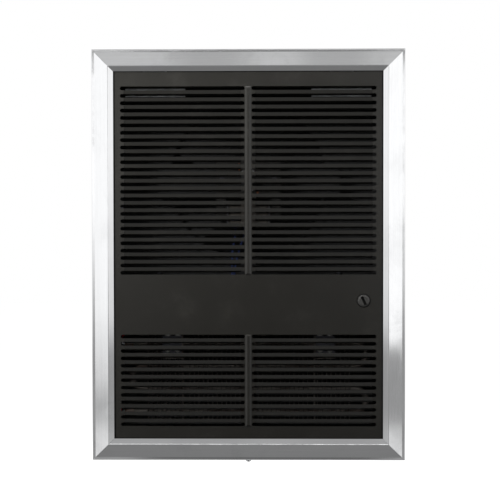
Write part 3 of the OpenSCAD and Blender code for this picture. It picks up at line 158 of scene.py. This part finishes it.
def extrudedAluminium(name, along):
    f = Finish(name)
    place = f.place()
    drawn = f.stretched(place, [0.02 if axis == along else 1.0 for axis in "xyz"])
    rolled = f.stretched(place, [0.25 if axis == along else 1.0 for axis in "xyz"])
    lines = f.noise(drawn, trimLook["lineScale"], 2, 0.6)
    bands = f.noise(drawn, trimLook["bandScale"], 2, 0.5)
    wave = f.noise(rolled, trimLook["waveScale"], 1, 0.4)
    smudge = f.steps(f.noise(place, trimLook["smudgeScale"], 4, 0.6, 0.6), 0.44, 0.72)
    scuff = f.steps(f.noise(place, trimLook["scuffScale"], 3, 0.7), 0.66, 0.8)
    rough = trimLook["gloss"] + lines * trimLook["dieLines"] + smudge * trimLook["smudge"]
    rough = rough + scuff * trimLook["scuff"]
    colour = f.tint(trimLook["colour"], 0.9 + lines * 0.08 + bands * 0.07 - smudge * 0.05)
    fine = f.bump(lines, 0.10, 0.00006)
    return f.surface(colour, rough, f.bump(wave, trimLook["wave"], 0.002, fine), metallic=1.0)


# Grille: dark bronze enamel, a little dusty where dust settles
grilleLook = {"colour": linear(33, 32, 29), "gloss": 0.15, "shine": 0.42, "mottleScale": 22,
              "grainScale": 1500, "peel": 0.10, "peelScale": 620, "dust": (0.12, 0.115, 0.105),
              "dustScale": 60, "dustOnTop": 0.5, "dustOnFaces": 0.10}


def bronzeEnamel(name):
    f = Finish(name)
    place = f.place()
    mottle = f.noise(place, grilleLook["mottleScale"], 5, 0.62)
    grain = f.noise(place, grilleLook["grainScale"], 3, 0.6)
    peel = f.noise(place, grilleLook["peelScale"], 2, 0.5)
    facing = f.add("ShaderNodeNewGeometry", out="Normal")
    upward = f.steps(f.axes(facing)[2], 0.35, 0.95)
    settled = upward * f.steps(f.noise(place, grilleLook["dustScale"], 4, 0.7), 0.3, 0.75)
    dust = settled * grilleLook["dustOnTop"] + f.steps(mottle, 0.5, 0.85) * grilleLook["dustOnFaces"]
    base = f.tint(grilleLook["colour"], 0.82 + mottle * 0.22 + grain * 0.14)
    colour = f.blend(f.clamp(dust), base, grilleLook["dust"])
    rough = grilleLook["gloss"] + mottle * 0.10 - grain * 0.05 + dust * 0.2
    return f.surface(colour, rough, f.bump(peel, grilleLook["peel"], 0.00025), shine=grilleLook["shine"])


# Galvanised sheet: crystals of zinc, each with its own tone and gloss
sheetLook = {"colour": (0.60, 0.615, 0.63), "gloss": 0.33, "crystalScale": 95, "crooked": 0.006,
             "cloudScale": 14, "streakScale": 160, "innerTone": 0.9, "boxTone": 1.0}


def zincCrystals(f, place, tone):
    scale = sheetLook["crystalScale"]
    shift = f.tint(f.noise(place, scale * 1.4, 2.0, out="Color"), sheetLook["crooked"])
    bent = f.add("ShaderNodeVectorMath", {"operation": "ADD"}, {0: place, 1: shift})
    cell = f.add("ShaderNodeTexVoronoi", {}, {"Vector": bent, "Scale": scale}, out="Color")
    red, green, blue = f.axes(cell)
    fern = f.noise(bent, scale * 9, 3, 0.6)
    cloud = f.noise(place, sheetLook["cloudScale"], 4, 0.6)
    streak = f.noise(f.stretched(place, [1, 1, 0.06]), sheetLook["streakScale"], 3, 0.6)
    level = tone * (0.80 + red * 0.20 + fern * 0.08 + cloud * 0.10 - streak * 0.08)
    rough = sheetLook["gloss"] + green * 0.16 + cloud * 0.12 + fern * 0.05
    return f.tint(sheetLook["colour"], level), rough, f.bump(fern * 0.4 + blue * 0.6, 0.06, 0.0002)


def innerSheet(name):
    f = Finish(name)
    colour, rough, normal = zincCrystals(f, f.place(), sheetLook["innerTone"])
    return f.surface(colour, rough, normal, metallic=1.0)


# Wall box: the same sheet, spot welded at its ends, with painted shade in the grooves of its knockouts, and
# painted shade over its whole inside
boxLook = {"weldRow": 0.2365, "weldPitch": 0.0645, "sideWeld": 0.016, "sidePitch": 0.033,
           "weld": (0.0030, 0.0022), "halo": (0.0064, 0.0028), "scorch": (0.24, 0.21, 0.19), "scorching": 0.6,
           "recessShade": 0.72, "insideShade": (0.016, 0.016, 0.016)}


def boxSheet(name):
    f = Finish(name)
    place = f.place()
    colour, rough, normal = zincCrystals(f, place, sheetLook["boxTone"])
    x, y, z = f.axes(place)
    # how far a point lies under each outer face of the box
    sideFace, backFace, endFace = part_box("wall_box")[1]
    fromMiddle = f.calc("ABSOLUTE", z)
    underSide = sideFace - f.calc("ABSOLUTE", x)
    underBack = backFace - y
    underEnd = endFace - fromMiddle
    onSide = f.steps(underSide, 0.0015, 0.0005)
    onEnd = f.steps(underEnd, 0.0015, 0.0005) * (1 - onSide)
    onBack = f.steps(underBack, 0.0010, 0.0007) * (1 - onSide) * (1 - onEnd)
    # spot welds in a row along both ends of the back and the sides, slightly sunk and tinted by heat
    row = fromMiddle - boxLook["weldRow"]
    alongX = f.calc("PINGPONG", x + 0.5 * boxLook["weldPitch"], 0.5 * boxLook["weldPitch"])
    alongY = f.calc("PINGPONG", y - boxLook["sideWeld"], 0.5 * boxLook["sidePitch"])
    welds = [(face, f.calc("SQRT", along * along + row * row))
             for face, along in ((onBack, alongX), (onSide, alongY))]
    sunk = sum(face * f.steps(away, *boxLook["weld"]) for face, away in welds)
    halo = sum(face * f.steps(away, *boxLook["halo"]) for face, away in welds)
    colour = f.blend(halo * boxLook["scorching"], colour, boxLook["scorch"])
    rough = rough + halo * 0.08
    normal = f.bump(0 - sunk, 0.6, 0.0006, normal)
    # painted shade in the grooves of the knockouts, on the back and on both ends: a darker colour where a
    # shadow would fall, and a rougher surface
    backGroove = onBack * f.steps(underBack, 0.00015, 0.0004)
    endGroove = onEnd * f.steps(underEnd, 0.00015, 0.0004) * f.steps(underEnd, 0.0010, 0.0007)
    groove = backGroove + endGroove * f.steps(underBack, 0.0015, 0.0018)
    # the painted shade darkens the colour inside the grooves
    colour = f.tint(colour, 1 - boxLook["recessShade"] * groove)
    rough = rough + groove * 0.2
    # painted shade: the whole inside of the box is coloured near black, matt and not metal, standing in for
    # the shade behind the fan
    inside = f.steps(underBack, 0.0010, 0.0012) * f.steps(underSide, 0.0010, 0.0014)
    inside = inside * f.steps(underEnd, 0.0010, 0.0014)
    colour = f.blend(inside, colour, boxLook["insideShade"])
    return f.surface(colour, rough + inside * 0.3, normal, metallic=1 - inside)


# Screws, shaft, terminals and other small plated metal
platedLook = {"mottleScale": 160, "stainScale": 55, "stainShade": 0.3, "relief": 0.05}


def platedMetal(name, colour, gloss=0.28, wear=0.5, grain=900):
    f = Finish(name)
    place = f.place()
    mottle = f.noise(place, platedLook["mottleScale"], 4, 0.6)
    fine = f.noise(place, grain, 2, 0.6)
    stain = f.steps(f.noise(place, platedLook["stainScale"], 5, 0.65), 0.5, 0.8) * wear
    tone = f.tint(colour, 0.86 + fine * 0.16 + mottle * 0.10 - stain * platedLook["stainShade"])
    rough = gloss * (1 + mottle * 0.4 + fine * 0.2) + stain * 0.22
    return f.surface(tone, rough, f.bump(fine, platedLook["relief"], 0.0001), metallic=1.0)


# Castings and bushes, grainy with small pits
castLook = {"grainScale": 1100, "cloudScale": 90, "pitScale": 620, "pitShade": 0.35, "relief": 0.35}


def castMetal(name, colour, gloss=0.45):
    f = Finish(name)
    place = f.place()
    grain = f.noise(place, castLook["grainScale"], 3, 0.7)
    cloud = f.noise(place, castLook["cloudScale"], 4, 0.6)
    pit = f.steps(f.noise(place, castLook["pitScale"], 2, 0.5), 0.62, 0.74)
    tone = f.tint(colour, 0.82 + cloud * 0.22 + grain * 0.12 - pit * castLook["pitShade"])
    rough = gloss + cloud * 0.14 + pit * 0.2
    return f.surface(tone, rough, f.bump(grain - pit, castLook["relief"], 0.0002), metallic=1.0)


# Plastic, rubber, insulation and flat paint; what lies deeper than cleft is darkened as painted shade
mouldedLook = {"skinScale": 1300, "cloudScale": 70, "rubScale": 240, "recessShade": 0.85, "recessShadeFades": 0.0015}


def moulded(name, colour, gloss, texture=0.12, coat=0.0, shine=0.5, cleft=None):
    f = Finish(name)
    place = f.place()
    skin = f.noise(place, mouldedLook["skinScale"], 2, 0.5)
    cloud = f.noise(place, mouldedLook["cloudScale"], 4, 0.6)
    rub = f.steps(f.noise(place, mouldedLook["rubScale"], 4, 0.7), 0.6, 0.8)
    tone = f.tint(colour, 0.86 + cloud * 0.2 + skin * 0.08 + rub * 0.12)
    rough = gloss + cloud * 0.12 - rub * 0.08
    if cleft is not None:
        # painted shade: darker and rougher deeper than cleft, where a recess would lie in shadow
        recessShade = f.steps(f.axes(place)[1], cleft, cleft + mouldedLook["recessShadeFades"])
        tone = f.tint(tone, 1 - mouldedLook["recessShade"] * recessShade)
        rough = rough + recessShade * 0.6
    return f.surface(tone, rough, f.bump(skin, texture, 0.0002), coat=coat, shine=shine)


# Motor: varnished core of thin sheets, and tape wound round the coil
motorLook = {"sheet": 0.00025, "cloudScale": 120, "varnishScale": 45, "tapeLap": 0.0072, "weaveScale": 2400,
             "stainScale": 80}


def laminatedSteel(name, colour):
    f = Finish(name)
    place = f.place()
    sheet = f.calc("PINGPONG", f.axes(place)[1], motorLook["sheet"]) / motorLook["sheet"]
    edge = f.steps(sheet, 0.15, 0.45)
    cloud = f.noise(place, motorLook["cloudScale"], 4, 0.6)
    varnish = f.steps(f.noise(place, motorLook["varnishScale"], 3, 0.6), 0.45, 0.75)
    tone = f.tint(colour, 0.5 + edge * 0.45 + cloud * 0.25 - varnish * 0.25)
    rough = 0.42 + cloud * 0.16 - varnish * 0.14
    return f.surface(tone, rough, f.bump(edge, 0.5, 0.0002), metallic=0.85)


def wrappedTape(name, colour):
    f = Finish(name)
    place = f.place()
    x, y, z = f.axes(place)
    lap = f.calc("FRACT", (x + y * 0.12 + z * 0.10) / motorLook["tapeLap"])
    edge = f.steps(lap, 0.0, 0.06)
    weave = f.noise(f.stretched(place, [1, 0.15, 0.15]), motorLook["weaveScale"], 2, 0.6)
    stain = f.noise(place, motorLook["stainScale"], 4, 0.6)
    tone = f.tint(colour, 0.62 + edge * 0.18 + lap * 0.10 + weave * 0.10 + stain * 0.16)
    return f.surface(tone, 0.38 + stain * 0.16, f.bump(lap + weave * 0.15, 0.45, 0.0003))


# Heating element: metal that has been red hot, with bands of oxide, and its glazed ceramic
elementLook = {"bandScale": 26, "grainScale": 900, "oxide": 0.8, "cloudScale": 90, "speckScale": 1500,
               "speck": (0.35, 0.27, 0.18), "specks": 0.5, "glaze": 0.4}


def heatedMetal(name, colour, oxideColour, gloss):
    f = Finish(name)
    place = f.place()
    band = f.noise(f.stretched(place, [1, 2.5, 2.5]), elementLook["bandScale"], 3, 0.6)
    fine = f.noise(place, elementLook["grainScale"], 3, 0.6)
    oxide = f.steps(band, 0.42, 0.66)
    tone = f.blend(oxide * elementLook["oxide"], f.tint(colour, 0.8 + fine * 0.35), oxideColour)
    rough = gloss + oxide * 0.18 + fine * 0.1
    return f.surface(tone, rough, f.bump(fine, 0.12, 0.0001), metallic=0.9)


def glazedCeramic(name, colour):
    f = Finish(name)
    place = f.place()
    speck = f.steps(f.noise(place, elementLook["speckScale"], 2, 0.5), 0.68, 0.76)
    cloud = f.noise(place, elementLook["cloudScale"], 3, 0.6)
    tone = f.blend(speck * elementLook["specks"], f.tint(colour, 0.86 + cloud * 0.2), elementLook["speck"])
    return f.surface(tone, 0.18 + cloud * 0.14, f.bump(cloud, 0.1, 0.0006), coat=elementLook["glaze"])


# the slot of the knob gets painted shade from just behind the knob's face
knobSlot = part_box("thermostat_knob")[0][1] + 0.0005

finishes = {
    "trim_aluminium": extrudedAluminium("trimAcross", "x"),
    "grille_paint": bronzeEnamel("grilleEnamel"),
    "galvanised": innerSheet("innerSheet"),
    # partly painted shade: the inner sheet metal and the fan are flat black paint, made this dark and dull so
    # the inside of the heater reads as shade
    "inner_paint": moulded("blackPaintAsShade", (0.018, 0.018, 0.018), gloss=0.78, texture=0.10, shine=0.15),
    "fan_paint": moulded("fanBlackAsShade", (0.014, 0.014, 0.014), gloss=0.82, texture=0.08, shine=0.08),
    "zinc": platedMetal("zincPlate", (0.66, 0.67, 0.69)),
    "cast_zinc": castMetal("castZinc", (0.42, 0.42, 0.43)),
    "laminations": laminatedSteel("laminatedCore", (0.055, 0.053, 0.05)),
    "green_screw": platedMetal("greenScrew", (0.05, 0.32, 0.10), gloss=0.32),
    "copper": platedMetal("barCopper", (0.30, 0.13, 0.08), gloss=0.42),
    "black_plastic": moulded("mouldedNylon", (0.028, 0.028, 0.03), gloss=0.42),
    "winding_tape": wrappedTape("windingTape", (0.030, 0.026, 0.022)),
    "bronze": castMetal("sinteredBronze", (0.24, 0.15, 0.08), gloss=0.5),
    "black_rubber": moulded("blackRubber", (0.020, 0.020, 0.021), gloss=0.7, texture=0.25),
    "rotor_metal": castMetal("rotorCasting", (0.50, 0.50, 0.51), gloss=0.38),
    "green_lead": moulded("greenLead", (0.03, 0.26, 0.08), gloss=0.36, texture=0.05),
    "shaft_steel": platedMetal("groundSteel", (0.62, 0.62, 0.63), gloss=0.16, wear=0.2, grain=2400),
    "dark_steel": platedMetal("blackScrew", (0.07, 0.07, 0.08), gloss=0.36),
    "element_sheath": heatedMetal("elementSheath", (0.12, 0.11, 0.10), (0.06, 0.04, 0.035), gloss=0.45),
    "element_fins": heatedMetal("elementFins", (0.055, 0.052, 0.05), (0.035, 0.028, 0.024), gloss=0.62),
    "bright_screw": platedMetal("brightNickel", (0.95, 0.95, 0.94), gloss=0.32, wear=0.05),
    "porcelain": glazedCeramic("porcelain", (0.13, 0.065, 0.035)),
    "phenolic": moulded("blackPhenolic", (0.035, 0.034, 0.033), gloss=0.34),
    "knob_black": moulded("knobPlastic", (0.030, 0.029, 0.027), gloss=0.24, texture=0.05, shine=0.6,
                          cleft=knobSlot),
    "toggle_metal": platedMetal("toggleNickel", (0.80, 0.80, 0.82), gloss=0.14, wear=0.1),
    "brown_phenolic": moulded("brownPhenolic", (0.14, 0.055, 0.022), gloss=0.32),
    "red_button": moulded("redButton", (0.52, 0.02, 0.02), gloss=0.25, texture=0.04, coat=0.2),
    "black_lead": moulded("blackLead", (0.018, 0.018, 0.019), gloss=0.34, texture=0.05),
    "red_lead": moulded("redLead", (0.42, 0.02, 0.02), gloss=0.34, texture=0.05),
    "blue_lead": moulded("blueLead", (0.012, 0.022, 0.075), gloss=0.55, texture=0.05),
    "nut_orange": moulded("nutPlastic", (0.74, 0.19, 0.02), gloss=0.40, texture=0.06),
}
uprightTrim = extrudedAluminium("trimUpright", "z")
special = {"frame_left": uprightTrim, "frame_right": uprightTrim, "wall_box": boxSheet("boxSheet")}
slotOf = {part["node"]: part["material_slot"] for part in frame["record"]["subparts"]}
for name, thing in nodes.items():
    look = special.get(name, finishes[slotOf[name]])
    if not thing.material_slots:
        thing.data.materials.append(look)
    for slot in thing.material_slots:
        slot.material = look
print("materials on", len(nodes), "nodes")


# Rolled edges on the sheet and the rails: only what a sharp CAD edge lacks
edgeLook = {"radius": {"frame_top": 0.0003, "frame_bottom": 0.0003, "frame_left": 0.0003,
                       "frame_right": 0.0003, "wall_box": 0.0005, "thermostat_knob": 0.0003},
            "segments": 2, "sharperThan": 35, "join": 0.00001}
for name, radius in edgeLook["radius"].items():
    thing = nodes[name]
    weld = thing.modifiers.new("weld", "WELD")
    weld.merge_threshold = edgeLook["join"]
    bevel = thing.modifiers.new("edges", "BEVEL")
    bevel.width = radius
    bevel.segments = edgeLook["segments"]
    bevel.limit_method = "ANGLE"
    bevel.angle_limit = math.radians(edgeLook["sharperThan"])
    bevel.harden_normals = True
print("edges rounded")


# Camera, fitted to the corners of the frame in the photo
viewLook = {"distance": 1.8, "azimuth": 0.998, "elevation": 1.566, "roll": -0.071, "focalPixels": 1384.0,
            "imagePixels": 500, "offset": (-1.63, 5.23), "sensor": 36.0, "farthest": 50}
azimuth, elevation = math.radians(viewLook["azimuth"]), math.radians(viewLook["elevation"])
eye = viewLook["distance"] * Vector((math.sin(azimuth) * math.cos(elevation),
                                     -math.cos(azimuth) * math.cos(elevation), math.sin(elevation)))
cameraData = bpy.data.cameras.new("camera")
cameraData.sensor_width = viewLook["sensor"]
cameraData.lens = viewLook["focalPixels"] / viewLook["imagePixels"] * cameraData.sensor_width
cameraData.shift_x = -viewLook["offset"][0] / viewLook["imagePixels"]
cameraData.shift_y = viewLook["offset"][1] / viewLook["imagePixels"]
cameraData.clip_end = viewLook["farthest"]
camera = bpy.data.objects.new("camera", cameraData)
camera.location = eye
lean = Quaternion((0, 0, 1), math.radians(viewLook["roll"]))
camera.rotation_euler = ((-eye).to_track_quat("-Z", "Y") @ lean).to_euler()
bpy.context.collection.objects.link(camera)
bpy.context.scene.camera = camera
bpy.context.scene.view_settings.view_transform = "Standard"
print("camera placed")


# Soft lamps; the bright metal doesn't mirror them, but the room below
lampLook = {"keyLamp": {"spot": (-0.52, -0.44, 0.70), "target": (0, 0, 0.05), "size": 0.36, "power": 17},
            "fillLamp": {"spot": (0.9, -1.1, 1.5), "target": (0, 0, 0), "size": 1.0, "power": 5},
            "backLamp": {"spot": (0.3, 1.9, 1.2), "target": (0, 0, 0), "size": 1.4, "power": 22}}
for name, look in lampLook.items():
    data = bpy.data.lights.new(name, "AREA")
    data.shape = "SQUARE"
    data.size = look["size"]
    data.energy = look["power"]
    lamp = bpy.data.objects.new(name, data)
    lamp.location = look["spot"]
    lamp.rotation_euler = (Vector(look["target"]) - Vector(look["spot"])).to_track_quat("-Z", "Y").to_euler()
    lamp.visible_glossy = False
    bpy.context.collection.objects.link(lamp)
print("lamps placed")


# The room that the bright trim mirrors, painted by direction: white walls beside it with a doorway low down,
# greyer overhead and under foot, dim straight ahead
roomLevels = {"ambient": 0.12, "sides": 1.16, "sidesBack": 1.02, "above": 0.62, "aboveBack": 0.34,
              "below": 0.27, "belowBack": 0.19, "frontSides": 1.2, "softBox": 3.4, "apron": 0.45}
# how much darker each of these makes what it covers
roomShades = {"beam": 0.26, "rightDoor": 0.73, "leftDoor": 0.44, "leftDoorTop": 0.16, "rightSkirting": 0.30,
              "leftSkirting": 0.17, "dusk": 0.28, "backDoor": 0.56, "backSkirting": 0.35, "patchLow": 0.72,
              "gap": 0.85}
# where each of these starts, and where it is full, along the direction
roomEdges = {
    "right": (0.2, 0.5), "left": (-0.2, -0.5), "back": (-0.42, -0.30), "front": (-0.64, -0.76),
    "above": (0.45, 0.80), "below": (-0.30, -0.70),
    "rightSkirting": (-0.147, -0.156), "leftSkirting": (-0.138, -0.158),
    "rightDoor": (-0.090, -0.095), "leftDoor": (-0.108, -0.135), "leftDoorTop": (-0.05, -0.10),
    "backDoor": (-0.070, -0.102), "dusk": (0.06, -0.09),
    "rightPatch": (0.072, 0.084), "leftPatch": (-0.084, -0.104), "patchOver": (0.108, 0.115),
    "patchUnder": (-0.22, -0.35), "patchLow": (0.02, -0.10),
    "gapStart": (0.145, 0.175), "gapEnd": (0.30, 0.36),
    "boxFoot": (0.19, 0.23), "boxTop": (0.42, 0.50), "boxSide": (0.42, 0.50),
    "apronTop": (-0.38, -0.46), "apronFoot": (-0.66, -0.74), "apronFront": (-0.45, -0.6),
}
beamLook = {"starts": (-0.066, 0.024), "width": 0.050, "blur": 0.006}
# straight ahead: height from 0 under foot to 1 overhead, and the level there
aheadStops = ((0.34, 0.06), (0.42, 0.14), (0.48, 0.18), (0.56, 0.26), (0.66, 0.50))

world = bpy.data.worlds.new("studio")
bpy.context.scene.world = world
w = Finish("studio", world)
seen, glossy, clear = w.add("ShaderNodeLightPath",
                            out=("Is Camera Ray", "Is Glossy Ray", "Is Transmission Ray"))
# the direction: dx to the right, dy into the wall, dz up
dx, dy, dz = w.axes(w.add("ShaderNodeTexCoord", out="Generated"))


def past(value, edge):
    return w.steps(value, *roomEdges[edge])


def over(under, top, cover):
    return under + (top - under) * cover


def beam(start):
    end = start + beamLook["width"]
    return w.steps(dx, start - beamLook["blur"], start) * (1 - w.steps(dx, end - beamLook["blur"], end))


right, left = past(dx, "right"), past(dx, "left")
further = past(dy, "back")
skirting = right * past(dz, "rightSkirting") + left * past(dz, "leftSkirting")
leftDoor = past(dz, "leftDoor") * roomShades["leftDoor"] + past(dz, "leftDoorTop") * roomShades["leftDoorTop"]
door = right * past(dz, "rightDoor") * roomShades["rightDoor"] + left * leftDoor
skirtingShade = roomShades["rightSkirting"] * right + roomShades["leftSkirting"] * left
sides = roomLevels["sides"] * (1 - door * (1 - skirting)) * (1 - skirting * skirtingShade)
# the inner slopes of the rails see the walls further back, and there they fade downwards
backDoor = roomShades["backDoor"] * past(dz, "backDoor") * (1 - roomShades["backSkirting"] * skirting)
sidesBack = roomLevels["sidesBack"] * (1 - roomShades["dusk"] * past(dz, "dusk")) * (1 - backDoor)
beams = sum(beam(start) for start in beamLook["starts"])
above = over(roomLevels["above"] * (1 - roomShades["beam"] * beams), roomLevels["aboveBack"], further)
below = over(roomLevels["below"], roomLevels["belowBack"], further)
room = over(over(sides, sidesBack, further), above, past(dz, "above"))
room = over(room, below, past(dz, "below"))
# straight ahead, only a patch on either side is lit, for the flat outer edges
aside = w.calc("ABSOLUTE", dx)
gap = past(aside, "gapStart") * (1 - past(aside, "gapEnd"))
patchLevel = roomLevels["frontSides"] * (1 - roomShades["patchLow"] * past(dz, "patchLow"))
patchLevel = patchLevel * (1 - roomShades["gap"] * gap)
patch = (past(dx, "rightPatch") + past(dx, "leftPatch")) * (1 - past(dz, "patchOver"))
patch = patch * (1 - past(dz, "patchUnder"))
front = over(w.ramp(0.5 + 0.5 * dz, *aheadStops), patchLevel, patch)
# a soft box above the camera, for the metal behind the louvres
softBox = past(dz, "boxFoot") * (1 - past(dz, "boxTop")) * (1 - past(aside, "boxSide"))
front = over(front, roomLevels["softBox"], softBox)
room = over(room, front, past(dy, "front"))
# the lit floor before the heater, which the leaning louvre bars face
apron = past(dz, "apronTop") * (1 - past(dz, "apronFoot")) * past(dy, "apronFront")
room = over(room, roomLevels["apron"], apron)
# matt surfaces get the ambient level, bright ones mirror the room, and the camera sees plain white
level = over(over(over(roomLevels["ambient"], room, glossy), 1, seen), 1, clear)
background = w.add("ShaderNodeBackground", {}, {"Color": (1, 1, 1, 1), "Strength": level})
w.add("ShaderNodeOutputWorld", {}, {"Surface": background})


# Pale floor, well below the heater
floorLook = {"drop": 0.62, "halfSize": 9.0, "colour": (0.60, 0.60, 0.60), "seen": 0.93, "fibreScale": 220}


def floorPaper(name):
    f = Finish(name)
    fibre = f.noise(f.place(), floorLook["fibreScale"], 4, 0.6)
    paper = f.add("ShaderNodeBsdfDiffuse", {}, {"Color": f.tint(floorLook["colour"], 0.96 + fibre * 0.05)})
    sight = f.add("ShaderNodeLightPath", out="Is Camera Ray")
    glow = f.add("ShaderNodeEmission", {}, {"Color": (1, 1, 1, 1), "Strength": sight * floorLook["seen"]})
    both = f.add("ShaderNodeAddShader", {}, {0: paper, 1: glow})
    f.add("ShaderNodeOutputMaterial", {}, {"Surface": both})
    return f.owner


floorMesh = bmesh.new()
bmesh.ops.create_grid(floorMesh, x_segments=4, y_segments=4, size=floorLook["halfSize"],
                      matrix=Matrix.Translation((0, 0, -floorLook["drop"])))
floorData = bpy.data.meshes.new("floor")
floorMesh.to_mesh(floorData)
floorMesh.free()
floor = bpy.data.objects.new("floor", floorData)
floor.data.materials.append(floorPaper("floorPaper"))
floor.visible_glossy = False
bpy.context.collection.objects.link(floor)
print("studio ready")
